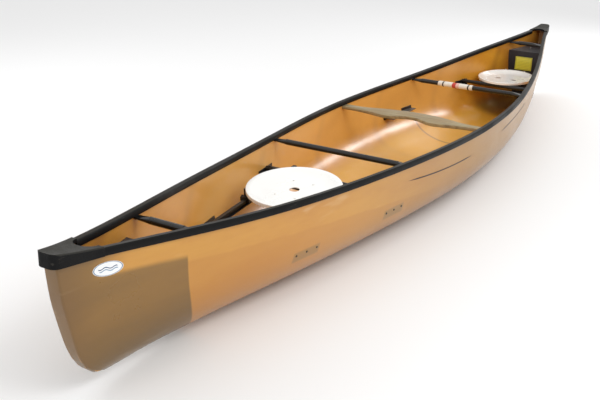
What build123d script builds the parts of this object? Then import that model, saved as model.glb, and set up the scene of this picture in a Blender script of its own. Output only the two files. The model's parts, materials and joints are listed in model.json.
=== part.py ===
"""A tandem tripping canoe: laminate hull, extruded gunwales, a sliding bow seat and a fixed stern seat.

Millimetres, +X towards the bow, +Y to port, +Z up.  The origin is on the ground under the middle of the
hull.  Hull lines are read from a short table of offsets and faired with a cubic batten.
"""
from build123d import *
import math
import os

# ---------------------------------------------------------------- driving dimensions
LINES_HALF = 2700  # half length that the lines are drawn over
TIP_BACK = 14  # how far the deck tips stop inside the ends of the lines
BEAM = 884  # over the gunwales
MID_DEPTH = 377  # ground to gunwale top amidships
BOW_ROCKER = 49  # rise of the keel at the bow end of the lines
STERN_ROCKER = 29

# offsets: station, and half breadth as a share of half the beam
PLAN_STATIONS = (-1, -0.9, -0.7, -0.4, 0, 0.4, 0.7, 0.9, 1)
PLAN_SHARES = (0.072, 0.190, 0.473, 0.824, 1.0, 0.769, 0.466, 0.190, 0.072)
# offsets: station, and rise of the gunwale top above its height amidships
SHEER_STATIONS = (-1, -0.75, -0.4, 0, 0.4, 0.75, 1)
SHEER_RISES = (141, 82, 10, 0, 24, 81, 150)

KEEL_HALF = 9  # half width of the flat along the keel
BILGE_MID, BILGE_END = 2.43, 1.21  # how square the turn of the bilge is
SIDE_MID, SIDE_END = 5.05, 1.74  # how fast the side comes upright
WALL = 5  # hull laminate
STEM_THICK = 16  # laminate built up at the stems
FIT = 0.4  # clearance between pieces that are fitted together
TOP_SPARE = 6  # the hollow form's top stands this far above the hull's edge
OPEN_BELOW = 80  # the side profile is open this far below the ground
GIRTH_SHARES = (0, 0.1, 0.2, 0.3, 0.4, 0.5, 0.58, 0.66, 0.74, 0.82, 0.91, 1)  # points up a half section
GIRTH_STEPS = 150  # fineness of the measure along a section
LOFT_STATIONS = (-1, -0.95, -0.88, -0.78, -0.64, -0.46, -0.24, 0, 0.24, 0.46, 0.64, 0.78, 0.88, 0.95, 1)
# stem: distance back from the end of the lines, and height as a share of the end's gunwale height
STEM_CURVE = ((24, 1.06), (35, 0.9), (51, 0.67), (70, 0.52), (90, 0.375), (118, 0.24), (150, 0.155))
STEM_FOOT = ((190, 13), (245, 3.5), (330, -3))  # distance back, and height above the keel line

GUNWALE_TALL = 28
GUNWALE_OUT = 10  # how far it stands outside the hull
GUNWALE_IN = 14  # how far it stands inside the hull's outer face
GUNWALE_OVER = 10  # solid height above the hull's top edge
GUNWALE_ROUND = 4
SLOT_FIT = 0.8  # clearance of its slot on the hull's edge
GUNWALE_END = 2505  # where the deck plates take over

DECK_PROUD = 1.5  # deck plate stands this far outside the gunwale
DECK_TOP = 4  # and this far above it
DECK_TIP_RISE = 10
DECK_SKIRT = 34
DECK_SKIRT_DROP = 8
DECK_STEPS = (0, 0.35, 0.7, 1)  # sections along it, as shares of its length
DECK_NOSE = 28

TUBE = 28  # thwart tube
TUBE_BORE = 23
TAB_WIDE, TAB_THICK = 40, 7  # its flattened ends
TUBE_TAPER = 60
SCREW = 3.5
SCREW_HEAD, SCREW_HEAD_TALL = 6, 2.5
SCREW_EDGE = 3.4  # screw's middle to the gunwale's inner face
SCREW_SPREAD = 22
SCREW_BITE = 12  # how far it goes into the gunwale
FORWARD_THWART_X, AFT_THWART_X = 805, -930
BOW_HANDLE_X, STERN_HANDLE_X = 2117, -2200

YOKE_X = -60
YOKE_THICK = 19
# the yoke's edges: share of its half length, and distance ahead of the gunwale screws' middle
YOKE_FORE = ((1, 28), (0.75, 31), (0.5, 54), (0.32, 70), (0.16, 40), (0, 14))
YOKE_AFT = ((1, -28), (0.7, -33), (0.36, -78), (0, -98))
YOKE_ROUND = 5
SLEEVE_FROM, SLEEVE_TO = -190, 40
SLEEVE_THICK = 3

BOLT = 6
BOLT_HEAD, BOLT_HEAD_TALL = 11, 4
CROSS_TUBE, CROSS_BORE = 25, 20
SEAT_TILT = 5.5  # degrees, rear of the bow seat higher
BOW_FRONT_X, BOW_REAR_X = 1549, 924  # cross tubes under the bow seat's rails
BOW_FRONT_Z = 190
RAIL_Y = 190
RAIL, RAIL_BORE = 18, 14  # square tube
RAIL_FLANGE, RAIL_FLANGE_THICK = 36, 3
RAIL_SPARE = 26  # rail beyond each cross tube
SEAT_X = 1225  # the bow seat's middle when the slide is at zero
BLOCK_LONG, BLOCK_WIDE, BLOCK_ROOF = 46, 34, 8
BLOCK_SPREAD = 80  # blocks this far before and behind the seat's middle
SEAT_BAR, SEAT_BAR_TALL = 16, 34
SEAT_LONG, SEAT_WIDE = 430, 424
SEAT_DEEP, SEAT_SKIN, SEAT_LIP, LIP_THICK = 20, 4, 16, 3
PAN_SHARES = (0.94, 0.88, 0.78, 0.64)  # the bowl's outline at each level, as a share of the rim
PAN_LEVELS = (0, 0.3, 0.7, 1)  # and the levels as a share of its depth
DRAIN = 46
SEAT_BOLT_Y = 50
KNOB, KNOB_TALL, KNOB_STEM, KNOB_LOBES, KNOB_ROUND = 30, 14, 8, 6, 1.5

STERN_SEAT_X = -1775
STERN_SEAT_LONG, STERN_SEAT_WIDE, STERN_SEAT_DEEP = 490, 380, 24
STERN_RIM_Z = 272
STERN_CROSS_SPREAD = 214
STERN_DRAIN_Y, STERN_DRAIN = 57, 42
STERN_BOLT_Y = 70

BRACKET_THICK = 3
BRACKET_LONG = 150
BRACKET_EDGE = 16  # plate beyond the shelf and beyond the rivets
SHELF_DEEP = 34
RIVET, RIVET_HEAD, RIVET_HEAD_TALL, RIVET_TAIL = 5, 10, 2, 7
RIVET_TAPER = 30  # degrees, the slope of a head's rim
RIVET_SPREAD = 62
BOW_RIVET_Z, STERN_RIVET_Z = 185, 212
MID_FRONT_X, MID_REAR_X, MID_SHELF_Z = -620, -850, 165
MID_LONG = 120
MID_HOLE_Y = 340

TANK_X, TANK_BACK, TANK_TOP = 2190, 2600, 385
LABEL_WIDE, LABEL_TALL, LABEL_Z = 127, 100, 294
LABEL_THICK = 0.6
EYE_ROD, EYE_RADIUS = 4, 10
EYE_BACK = 160  # the eye's place behind the bulkhead


# ---------------------------------------------------------------- the lines
def batten(stations, offsets):
    """A natural cubic spline through the offsets, as a function of the station."""
    last = len(stations) - 1
    gaps = [stations[i + 1] - stations[i] for i in range(last)]
    slopes = [(offsets[i + 1] - offsets[i]) / gaps[i] for i in range(last)]
    bends = [0.0] * (last + 1)
    for _ in range(60):
        for i in range(1, last):
            pull = 6 * (slopes[i] - slopes[i - 1]) - gaps[i - 1] * bends[i - 1] - gaps[i] * bends[i + 1]
            bends[i] = pull / (2 * (gaps[i - 1] + gaps[i]))

    def offset_at(station):
        i = sum(1 for s in stations[1:-1] if s <= station)
        gap = gaps[i]
        after, before = station - stations[i], stations[i + 1] - station
        bent = (bends[i] * before**3 + bends[i + 1] * after**3) / (6 * gap)
        left = offsets[i] / gap - bends[i] * gap / 6
        right = offsets[i + 1] / gap - bends[i + 1] * gap / 6
        return bent + left * before + right * after

    return offset_at


plan_share = batten(PLAN_STATIONS, PLAN_SHARES)
sheer_rise = batten(SHEER_STATIONS, SHEER_RISES)


def half_breadth(x):
    """Half breadth over the gunwales."""
    return BEAM / 2 * plan_share(x / LINES_HALF)


def sheer(x):
    """Height of the gunwale's top."""
    return MID_DEPTH + sheer_rise(x / LINES_HALF)


def keel(x):
    """Height of the keel line."""
    rocker = BOW_ROCKER if x > 0 else STERN_ROCKER
    return rocker * abs(x / LINES_HALF) ** 3


def hull_half(x, rise, inset=0):
    """Half breadth of the hull at a share of its height, moved inwards by inset."""
    fine = (x / LINES_HALF) ** 2
    bilge = BILGE_MID + (BILGE_END - BILGE_MID) * fine
    side = SIDE_MID + (SIDE_END - SIDE_MID) * fine
    flat = KEEL_HALF - inset * KEEL_HALF / (KEEL_HALF + WALL)
    full = half_breadth(x) - GUNWALE_OUT - inset
    return flat + (full - flat) * (1 - (1 - rise) ** side) ** (1 / bilge)


def hull_y(x, z, inset=0):
    """Half breadth of the hull's face at a height."""
    low, top = keel(x) + inset, sheer(x) - GUNWALE_OVER
    return hull_half(x, (z - low) / (top - low), inset)


def section_points(x, inset, lift):
    """Points at fixed shares of the girth of a half section, from the keel to the top."""
    low, top = keel(x) + inset, sheer(x) - GUNWALE_OVER + lift
    rises = [(step / GIRTH_STEPS) ** 3 for step in range(GIRTH_STEPS + 1)]
    fine = [(hull_half(x, rise, inset), low + (top - low) * rise) for rise in rises]
    run = [0.0]
    for here, there in zip(fine, fine[1:]):
        run.append(run[-1] + math.dist(here, there))
    picked = []
    for share in GIRTH_SHARES:
        i = min(GIRTH_STEPS, max(1, sum(1 for length in run if length < share * run[-1])))
        part = (share * run[-1] - run[i - 1]) / (run[i] - run[i - 1])
        (y0, z0), (y1, z1) = fine[i - 1], fine[i]
        picked.append((y0 + part * (y1 - y0), z0 + part * (z1 - z0)))
    return picked


def hull_section(x, inset=0, lift=0):
    """A closed section across the hull, moved inwards by inset, its top raised by lift."""
    port = section_points(x, inset, lift)
    starboard = [(-y, z) for y, z in port]
    with BuildSketch(Plane.YZ.offset(x)) as section:
        with BuildLine():
            Line(starboard[0], port[0])
            add(Edge.make_spline(port, parameters=GIRTH_SHARES))
            Line(port[-1], starboard[-1])
            add(Edge.make_spline(starboard, parameters=GIRTH_SHARES))
        make_face()
    return section.sketch


def stem_points(end, back=0):
    """The stem's profile from the foot to the top, moved back from the outside by back."""
    height = sheer(end * LINES_HALF)
    foot = [(end * (LINES_HALF - d - back), keel(end * (LINES_HALF - d)) + h) for d, h in reversed(STEM_FOOT)]
    rest = [(end * (LINES_HALF - d - back), share * height) for d, share in reversed(STEM_CURVE)]
    return foot + rest


def profile_sheet(back=0):
    """The side profile between the two stems, open well above and below the hull."""
    deep, high = -OPEN_BELOW, 2 * MID_DEPTH
    bow, stern = stem_points(1, back), stem_points(-1, back)
    with BuildSketch(Plane.XZ) as sheet:
        with BuildLine():
            Spline(*bow)
            Line(bow[-1], (bow[-1][0], high))
            Line((bow[-1][0], high), (stern[-1][0], high))
            Line((stern[-1][0], high), stern[-1])
            Spline(*stern)
            Line(stern[0], (stern[0][0], deep))
            Line((stern[0][0], deep), (bow[0][0], deep))
            Line((bow[0][0], deep), bow[0])
        make_face()
    return sheet.sketch


def hull_form(inset=0, lift=0, back=0):
    """The solid inside a face of the hull, its stems trimmed to the profile."""
    sections = [hull_section(t * LINES_HALF, inset, lift) for t in LOFT_STATIONS]
    with BuildPart() as form:
        loft(sections)
        extrude(profile_sheet(back), amount=BEAM, both=True, mode=Mode.INTERSECT)
    return form.part


os.makedirs("parts", exist_ok=True)


def save(piece, name):
    """Label a finished piece and write it."""
    piece.label = name
    export_step(piece, f"parts/{name}.step")
    return piece


def turned(end):
    """The part of a name that tells one end from the other."""
    return "bow" if end > 0 else "stern"


def hand(side):
    return "port" if side > 0 else "starboard"


def wall_plane(x, side, z, inset=0):
    """A plane on a face of the hull's side, looking outwards along the wall's normal."""
    step = 5
    run = (hull_y(x + step, z, inset) - hull_y(x - step, z, inset)) / (2 * step)
    flare = (hull_y(x, z + step, inset) - hull_y(x, z - step, inset)) / (2 * step)
    origin = (x, side * hull_y(x, z, inset), z)
    return Plane(origin=origin, x_dir=(1, side * run, 0), z_dir=(-run, side, -flare))


# ---------------------------------------------------------------- shared forms
outer_form = hull_form()
capped_form = hull_form(-FIT, lift=FIT, back=-FIT)
inner_form = hull_form(WALL, lift=TOP_SPARE, back=STEM_THICK)
fitted_form = hull_form(WALL + FIT, lift=TOP_SPARE, back=STEM_THICK + FIT)
lined_form = hull_form(WALL + FIT + BRACKET_THICK, lift=TOP_SPARE + FIT, back=STEM_THICK + 2 * BRACKET_THICK)


# ---------------------------------------------------------------- brackets, tubes, rivets and bolts
def bracket(x, side, shelf_z, rivet_z, long, reach):
    """A plate curved to the hull, and a level shelf with its top at shelf_z, reaching in to y = reach."""
    low = min(shelf_z, rivet_z) - BRACKET_EDGE
    high = max(shelf_z, rivet_z) + BRACKET_EDGE
    out = half_breadth(x)
    with BuildPart() as shelf:
        with Locations((x, side * (out + reach) / 2, shelf_z - BRACKET_THICK / 2)):
            Box(long, out - reach, BRACKET_THICK)
        add(fitted_form, mode=Mode.INTERSECT)
    with BuildPart() as angle:
        with Locations((x, side * (out + reach) / 2, (low + high) / 2)):
            Box(long, out - reach, high - low)
        add(fitted_form, mode=Mode.INTERSECT)
        add(lined_form, mode=Mode.SUBTRACT)
        add(shelf.part)
    return angle.part


def rivet_planes(x, rivet_z):
    """The places on the hull's outer face of the rivets of a pair of brackets."""
    steps = (-RIVET_SPREAD, 0, RIVET_SPREAD)
    return [wall_plane(x + step, side, rivet_z) for side in (1, -1) for step in steps]


def drilled(piece, planes, diameter, deep):
    """The piece with holes along the planes' normals, from just outside to deep inside."""
    with BuildPart() as result:
        add(piece)
        for plane in planes:
            with BuildSketch(plane.offset(-deep)):
                Circle(diameter / 2)
            extrude(amount=deep + RIVET_HEAD_TALL, mode=Mode.SUBTRACT)
    return result.part


def rivets(planes):
    """Domed rivets through the hull and a bracket, as one group."""
    with BuildPart() as group:
        for plane in planes:
            x, z = plane.origin.X, plane.origin.Z
            through = hull_y(x, z) - hull_y(x, z, WALL + FIT + BRACKET_THICK)
            grip = through * abs(plane.z_dir.Y) + 3 * FIT
            with BuildSketch(plane.offset(-grip)):
                Circle(RIVET / 2)
            extrude(amount=grip + FIT / 2)
            with BuildSketch(plane.offset(FIT / 2)):
                Circle(RIVET_HEAD / 2)
            extrude(amount=RIVET_HEAD_TALL, taper=RIVET_TAPER)
            with BuildSketch(plane.offset(-grip)):
                Circle(RIVET_TAIL / 2)
            extrude(amount=-RIVET_HEAD_TALL)
    return group.part


def bolts(places, low, high, head=BOLT_HEAD, shank=BOLT, up=True):
    """Upright bolts at (x, y) places, their heads on top, or below where up is false."""
    with BuildPart() as group:
        with Locations([(x, y, (low + high) / 2) for x, y in places]):
            Cylinder(shank / 2, high - low)
        head_z = high + BOLT_HEAD_TALL / 2 if up else low - BOLT_HEAD_TALL / 2
        with Locations([(x, y, head_z) for x, y in places]):
            Cylinder(head / 2, BOLT_HEAD_TALL)
    return group.part


def cross_tube(x, z):
    """A straight tube across the hull, short of the bracket plates, drilled for its end bolts."""
    half = hull_y(x, z - CROSS_TUBE / 2, WALL + FIT + BRACKET_THICK) - 2 * RIVET_HEAD_TALL - FIT
    with BuildPart() as tube:
        with BuildSketch(Plane.XZ.offset(-half)):
            with Locations((x, z)):
                Circle(CROSS_TUBE / 2)
                Circle(CROSS_BORE / 2, mode=Mode.SUBTRACT)
        extrude(amount=2 * half)
        with Locations([(x, side * (half - SHELF_DEEP / 2), z) for side in (1, -1)]):
            Cylinder(BOLT / 2 + FIT, 2 * CROSS_TUBE, mode=Mode.SUBTRACT)
    return tube.part, half - SHELF_DEEP / 2


def cross_set(name, x, z, rivet_z):
    """A cross tube with its two brackets, rivets and bolts."""
    tube, bolt_y = cross_tube(x, z)
    shelf_z = z - CROSS_TUBE / 2 - FIT
    places = [(x, bolt_y), (x, -bolt_y)]
    spots = rivet_planes(x, rivet_z)
    for side in (1, -1):
        reach = bolt_y - SHELF_DEEP / 2
        angle = bracket(x, side, shelf_z, rivet_z, BRACKET_LONG, reach)
        with BuildPart() as holed:
            add(drilled(angle, spots, RIVET + FIT, 3 * WALL))
            with Locations((x, side * bolt_y, shelf_z)):
                Cylinder(BOLT / 2 + FIT, CROSS_TUBE, mode=Mode.SUBTRACT)
        save(holed.part, f"{name}_bracket_{hand(side)}")
    low = shelf_z - BRACKET_THICK - FIT
    save(bolts(places, low, z + CROSS_TUBE / 2 + FIT / 2), f"{name}_tube_bolts")
    save(rivets(spots), f"{name}_rivets")
    return tube, spots


# ---------------------------------------------------------------- gunwales and deck plates
def gunwale_section(x, side):
    """The extrusion's outline at a station: a rounded bar with a slot for the hull's edge."""
    y, top = half_breadth(x), sheer(x)
    edge_y, edge_z, low = y - GUNWALE_OUT, top - GUNWALE_OVER, top - GUNWALE_TALL
    inner = edge_y - GUNWALE_IN
    soft = GUNWALE_ROUND
    outline = (
        (edge_y + SLOT_FIT, low), (y - soft / 2, low), (y, low + soft),
        (y, top - soft * 1.3), (y - soft, top),
        (inner + soft, top), (inner, top - soft), (inner, low + soft), (inner + soft / 2, low),
        (edge_y - WALL - SLOT_FIT, low), (edge_y - WALL - SLOT_FIT, edge_z + SLOT_FIT),
        (edge_y + SLOT_FIT, edge_z + SLOT_FIT),
    )
    with BuildSketch(Plane.YZ.offset(x)) as section:
        with BuildLine():
            Polyline(*[(side * u, v) for u, v in outline], close=True)
        make_face()
    return section.sketch


def gunwale(side, screw_places):
    """One gunwale, from deck plate to deck plate, drilled from below for the thwarts' screws."""
    with BuildPart() as rail:
        loft([gunwale_section(t * LINES_HALF, side) for t in LOFT_STATIONS])
        Box(2 * GUNWALE_END, BEAM * 2, MID_DEPTH * 4, mode=Mode.INTERSECT)
        for x, y in screw_places:
            low = sheer(x) - GUNWALE_TALL
            with Locations((x, side * y, low)):
                Cylinder(SCREW / 2 + FIT / 4, 2 * SCREW_BITE + 2 * FIT, mode=Mode.SUBTRACT)
    return rail.part


def deck_section(x, end):
    """The deck plate's outline across the hull, its cover and skirts still filled in."""
    run = (x - GUNWALE_END) / (LINES_HALF - TIP_BACK - GUNWALE_END)
    y = half_breadth(end * x) + DECK_PROUD
    top = sheer(end * x) + DECK_TOP + DECK_TIP_RISE * run**2
    low = sheer(end * x) - GUNWALE_TALL - DECK_SKIRT_DROP * run
    outline = [(y, low), (y, top - GUNWALE_ROUND), (y - GUNWALE_ROUND, top)]
    with BuildSketch(Plane.YZ.offset(end * x)) as section:
        with BuildLine():
            Polyline(*outline, *[(-u, v) for u, v in reversed(outline)], close=True)
        make_face()
    return section.sketch


def deck_plate(end):
    """A moulded cap over the end of the hull, hollow underneath, with a round bite in its back edge."""
    back, tip = GUNWALE_END + FIT, LINES_HALF - TIP_BACK
    steps = [back + (tip - back) * share for share in DECK_STEPS]
    mouth_y = half_breadth(end * back) - GUNWALE_OUT - GUNWALE_IN
    with BuildPart() as plate:
        loft([deck_section(x, end) for x in (steps if end > 0 else reversed(steps))])
        nose = plate.faces().sort_by(Axis.X)[-1 if end > 0 else 0]
        fillet(nose.edges().filter_by(lambda edge: edge.bounding_box().size.Z > DECK_SKIRT / 2), DECK_NOSE)
        add(capped_form, mode=Mode.SUBTRACT)
        with Locations((end * back, 0, sheer(end * back))):
            Cylinder(mouth_y, 4 * DECK_SKIRT, mode=Mode.SUBTRACT)
    return plate.part


# ---------------------------------------------------------------- thwarts and the yoke
def screw_places(x):
    """Where the screws of a crossbar's ends enter the port gunwale."""
    middle = GUNWALE_OUT + GUNWALE_IN - SCREW_EDGE
    return [(x + step, half_breadth(x + step) - middle) for step in (-SCREW_SPREAD / 2, SCREW_SPREAD / 2)]


def crossbar_plane(x, drop):
    """The level of a crossbar, parallel to the gunwales and drop below their undersides."""
    slope = (sheer(x + TAB_WIDE) - sheer(x - TAB_WIDE)) / (2 * TAB_WIDE)
    origin = (x, 0, sheer(x) - GUNWALE_TALL - FIT - drop)
    return Plane(origin=origin, x_dir=(1, 0, slope), z_dir=(-slope, 0, 1))


def screws(x, thick):
    """Four screws up through a crossbar's ends into the gunwales."""
    with BuildPart() as group:
        for step_x, y in screw_places(x):
            under = crossbar_plane(x, thick).origin.Z + sheer(step_x) - sheer(x) - FIT
            with Locations([(step_x, side * y, under) for side in (1, -1)]):
                align = (Align.CENTER, Align.CENTER)
                Cylinder(SCREW / 2, thick + SCREW_BITE, align=(*align, Align.MIN))
                Cylinder(SCREW_HEAD / 2, SCREW_HEAD_TALL, align=(*align, Align.MAX))
    return group.part


def thwart(x):
    """A round tube with flattened ends that lie under the gunwales."""
    level = crossbar_plane(x, TAB_THICK / 2)
    outer_x = x + math.copysign(TAB_WIDE / 2, x)
    tip = hull_y(outer_x, level.origin.Z - TAB_THICK, WALL) - 2 * FIT
    tab_from = half_breadth(outer_x) - GUNWALE_OUT - GUNWALE_IN - TAB_THICK
    round_to = tab_from - TUBE_TAPER
    across = Plane(origin=level.origin, x_dir=level.x_dir, z_dir=level.y_dir)
    with BuildPart() as bar:
        with BuildSketch(across.offset(-round_to)):
            Circle(TUBE / 2)
        extrude(amount=2 * round_to)
        for side in (1, -1):
            with BuildSketch(across.offset(side * round_to)) as tube_end:
                RectangleRounded(TUBE, TUBE, TUBE / 2 - FIT / 4)
            with BuildSketch(across.offset(side * tab_from)) as tab_end:
                RectangleRounded(TAB_WIDE, TAB_THICK, TAB_THICK / 2 - FIT / 4)
            loft([tube_end.sketch, tab_end.sketch])
            with BuildSketch(across.offset(side * tab_from)):
                RectangleRounded(TAB_WIDE, TAB_THICK, TAB_THICK / 2 - FIT / 4)
            extrude(amount=side * (tip - tab_from))
        with BuildSketch(across.offset(-round_to)):
            Circle(TUBE_BORE / 2)
        extrude(amount=2 * round_to, mode=Mode.SUBTRACT)
        with Locations([(u, side * v, level.origin.Z) for u, v in screw_places(x) for side in (1, -1)]):
            Cylinder(SCREW / 2 + FIT / 4, 2 * TUBE, mode=Mode.SUBTRACT)
    return bar.part


def yoke():
    """A carved wooden carrying yoke, hollowed in front for the neck and full over the shoulders."""
    level = crossbar_plane(YOKE_X, YOKE_THICK)
    tip = hull_y(YOKE_X, level.origin.Z - FIT, WALL) - 2 * FIT
    end_wide = YOKE_FORE[0][1] - YOKE_AFT[0][1]
    with BuildPart() as bar:
        with BuildSketch(level):
            with BuildLine():
                edges = []
                for shares in (YOKE_FORE, YOKE_AFT):
                    half = [(x, share * tip) for share, x in shares]
                    other = [(x, -y) for x, y in reversed(half[:-1])]
                    edges.append(Spline(*half, *other, tangents=((0, -1), (0, -1))))
                for at in (0, 1):
                    Line(edges[0] @ at, edges[1] @ at)
            make_face()
        extrude(amount=YOKE_THICK)
        rims = bar.edges().filter_by(lambda edge: edge.length > end_wide + YOKE_THICK)
        fillet(rims, YOKE_ROUND)
        with Locations([(u, side * v, level.origin.Z) for u, v in screw_places(YOKE_X) for side in (1, -1)]):
            Cylinder(SCREW / 2 + FIT / 4, 3 * YOKE_THICK, mode=Mode.SUBTRACT)
    return bar.part


def sleeve():
    """A wrap of tape round the aft thwart."""
    level = crossbar_plane(AFT_THWART_X, TAB_THICK / 2)
    across = Plane(origin=level.origin, x_dir=level.x_dir, z_dir=level.y_dir)
    with BuildPart() as wrap:
        with BuildSketch(across.offset(SLEEVE_FROM)):
            Circle(TUBE / 2 + SLEEVE_THICK)
            Circle(TUBE / 2 + FIT / 2, mode=Mode.SUBTRACT)
        extrude(amount=SLEEVE_TO - SLEEVE_FROM)
    return wrap.part


# ---------------------------------------------------------------- seats
def bowl(plane, long, wide, deep, shrink, lift):
    """The solid inside a face of a seat's bowl: ellipses that shrink as they go down."""
    levels = []
    for share, level in zip(PAN_SHARES, PAN_LEVELS):
        with BuildSketch(plane.offset(lift - level * deep)) as outline:
            Ellipse(long / 2 * share - shrink, wide / 2 * share - shrink)
        levels.append(outline.sketch)
    with BuildPart() as form:
        loft(levels)
    return form.part


def seat_shell(plane, long, wide, deep, drains, drain, bolt_places):
    """A moulded bucket seat: a shallow bowl with a turned-down lip, drain holes and bolt holes."""
    with BuildPart() as shell:
        with BuildSketch(plane.offset(-SEAT_LIP)):
            Ellipse(long / 2, wide / 2)
            Ellipse(long / 2 - LIP_THICK, wide / 2 - LIP_THICK, mode=Mode.SUBTRACT)
        extrude(amount=SEAT_LIP)
        with BuildSketch(plane):
            Ellipse(long / 2, wide / 2)
        extrude(amount=-SEAT_SKIN)
        top = shell.faces().sort_by(Axis((0, 0, 0), plane.z_dir))[-1]
        fillet(top.edges(), SEAT_SKIN * 0.6)
        add(bowl(plane, long, wide, deep, 0, -FIT))
        add(bowl(plane, long, wide, deep - SEAT_SKIN, SEAT_SKIN, FIT), mode=Mode.SUBTRACT)
        with Locations(plane):
            with Locations([(0, y, 0) for y in drains]):
                Cylinder(drain / 2, 3 * deep, mode=Mode.SUBTRACT)
            with Locations([(x, y, 0) for x, y in bolt_places]):
                Cylinder(BOLT / 2 + FIT, 3 * deep, mode=Mode.SUBTRACT)
    return shell.part


slide_slope = math.tan(math.radians(SEAT_TILT))
slide_stretch = 1 / math.cos(math.radians(SEAT_TILT))
rail_start = (BOW_FRONT_X, 0, BOW_FRONT_Z)
rail_level = Plane(origin=rail_start, x_dir=(1, 0, -slide_slope), z_dir=(slide_slope, 0, 1))
rail_run = (BOW_FRONT_X - BOW_REAR_X) * slide_stretch
seat_at = -(BOW_FRONT_X - SEAT_X) * slide_stretch
rail_floor = CROSS_TUBE / 2 + FIT
tube_floor = rail_floor + RAIL_FLANGE_THICK
block_top = tube_floor + RAIL + FIT + BLOCK_ROOF
bar_top = block_top + SEAT_BAR_TALL
rim_level = bar_top + 2 * FIT + SEAT_DEEP


def on_rails(x, y, z):
    """A place given along, across and above the rails, in the canoe's own frame."""
    return rail_level.from_local_coords((x, y, z))


def rail(side):
    """One of the bow seat's rails: a square tube on a flange, bolted down on the cross tubes."""
    with BuildPart() as bar:
        with Locations(rail_level):
            with Locations((-rail_run / 2, side * RAIL_Y, rail_floor)):
                long = rail_run + 2 * RAIL_SPARE
                align = (Align.CENTER, Align.CENTER, Align.MIN)
                Box(long, RAIL_FLANGE, RAIL_FLANGE_THICK, align=align)
                Box(long, RAIL, RAIL_FLANGE_THICK + RAIL, align=align)
            with Locations((-rail_run / 2, side * RAIL_Y, tube_floor + RAIL / 2)):
                Box(2 * rail_run, RAIL_BORE, RAIL_BORE, mode=Mode.SUBTRACT)
    return bar.part


def slide_block(end, side):
    """A channel that rides over a rail and carries one end of a seat bar."""
    with BuildPart() as block:
        with Locations(rail_level):
            with Locations((seat_at + end * BLOCK_SPREAD, side * RAIL_Y, block_top)):
                align = (Align.CENTER, Align.CENTER, Align.MAX)
                Box(BLOCK_LONG, BLOCK_WIDE, block_top - tube_floor - FIT, align=align)
            with Locations((seat_at, side * RAIL_Y, block_top - BLOCK_ROOF)):
                Box(4 * BLOCK_SPREAD, RAIL + 2 * FIT, 2 * RAIL, align=align, mode=Mode.SUBTRACT)
    return block.part


def seat_bar(end):
    """A bar across the slide blocks, under the bow seat."""
    with BuildPart() as bar:
        with Locations(rail_level):
            with Locations((seat_at + end * BLOCK_SPREAD, 0, (block_top + bar_top) / 2)):
                Box(SEAT_BAR, 2 * RAIL_Y + BLOCK_WIDE, SEAT_BAR_TALL)
                with Locations([(0, side * SEAT_BOLT_Y, 0) for side in (1, -1)]):
                    Cylinder(BOLT / 2 + FIT, 2 * SEAT_BAR_TALL, mode=Mode.SUBTRACT)
    return bar.part


def seat_bolts():
    """Four bolts down through the bow seat's bowl and its bars."""
    floor = rim_level - SEAT_DEEP + SEAT_SKIN + FIT
    places = [(seat_at + end * BLOCK_SPREAD, side * SEAT_BOLT_Y) for end in (1, -1) for side in (1, -1)]
    with BuildPart() as group:
        with Locations(rail_level):
            with Locations([(x, y, floor) for x, y in places]):
                align = (Align.CENTER, Align.CENTER)
                Cylinder(BOLT / 2, floor - block_top, align=(*align, Align.MAX))
                Cylinder(BOLT_HEAD / 2, BOLT_HEAD_TALL, align=(*align, Align.MIN))
    return group.part


def clamp_knob(side):
    """A lobed hand knob whose screw presses the front slide block on its rail."""
    height = (tube_floor + block_top - BLOCK_ROOF) / 2
    face = on_rails(seat_at + BLOCK_SPREAD, side * (RAIL_Y + BLOCK_WIDE / 2 + FIT), height)
    plane = Plane(origin=face, x_dir=rail_level.x_dir, z_dir=(0, side, 0))
    with BuildPart() as knob:
        with BuildSketch(plane):
            Circle(KNOB_STEM)
        extrude(amount=FIT + BOLT_HEAD_TALL)
        with BuildSketch(plane.offset(BOLT_HEAD_TALL)):
            Circle(KNOB / 2)
            with PolarLocations(KNOB / 2 + KNOB_ROUND, KNOB_LOBES):
                Circle(KNOB_STEM / 2, mode=Mode.SUBTRACT)
        extrude(amount=KNOB_TALL)
        fillet(knob.faces().sort_by(Axis.Y)[-1 if side > 0 else 0].edges(), KNOB_ROUND)
    return knob.part


# ---------------------------------------------------------------- float tanks
def float_tank(end):
    """The buoyancy tank that fills the end of the hull below the deck plate, hollow inside."""
    with BuildPart() as hollow:
        with Locations((end * (TANK_X + BRACKET_THICK), 0, TANK_TOP - BRACKET_THICK)):
            near = Align.MIN if end > 0 else Align.MAX
            Box(TANK_BACK, BEAM, 2 * TANK_TOP, align=(near, Align.CENTER, Align.MAX))
        add(lined_form, mode=Mode.INTERSECT)
    with BuildPart() as tank:
        with Locations((end * (TANK_X + TANK_BACK) / 2, 0, 0)):
            Box(TANK_BACK - TANK_X, BEAM, 2 * TANK_TOP)
        add(fitted_form, mode=Mode.INTERSECT)
        add(hollow.part, mode=Mode.SUBTRACT)
    return tank.part


def tank_label():
    """A blank notice plate stuck to the stern tank's bulkhead."""
    with BuildPart() as plate:
        with Locations((-TANK_X + FIT / 2, 0, LABEL_Z)):
            Box(LABEL_THICK, LABEL_WIDE, LABEL_TALL, align=(Align.MIN, Align.CENTER, Align.CENTER))
    return plate.part


def tank_eye():
    """A small wire eye on top of the stern tank."""
    with BuildPart() as eye:
        with BuildSketch(Plane.XY.offset(TANK_TOP + FIT / 2)):
            with Locations((-TANK_X - EYE_BACK + EYE_RADIUS, 0)):
                Circle(EYE_ROD / 2)
        turn = Axis((-TANK_X - EYE_BACK, 0, TANK_TOP + FIT / 2), (0, 1, 0))
        revolve(axis=turn, revolution_arc=-180)
    return eye.part


# ---------------------------------------------------------------- the canoe
CROSSBARS = {"bow_carry_handle": BOW_HANDLE_X, "forward_thwart": FORWARD_THWART_X,
             "aft_thwart": AFT_THWART_X, "stern_carry_handle": STERN_HANDLE_X}


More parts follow.
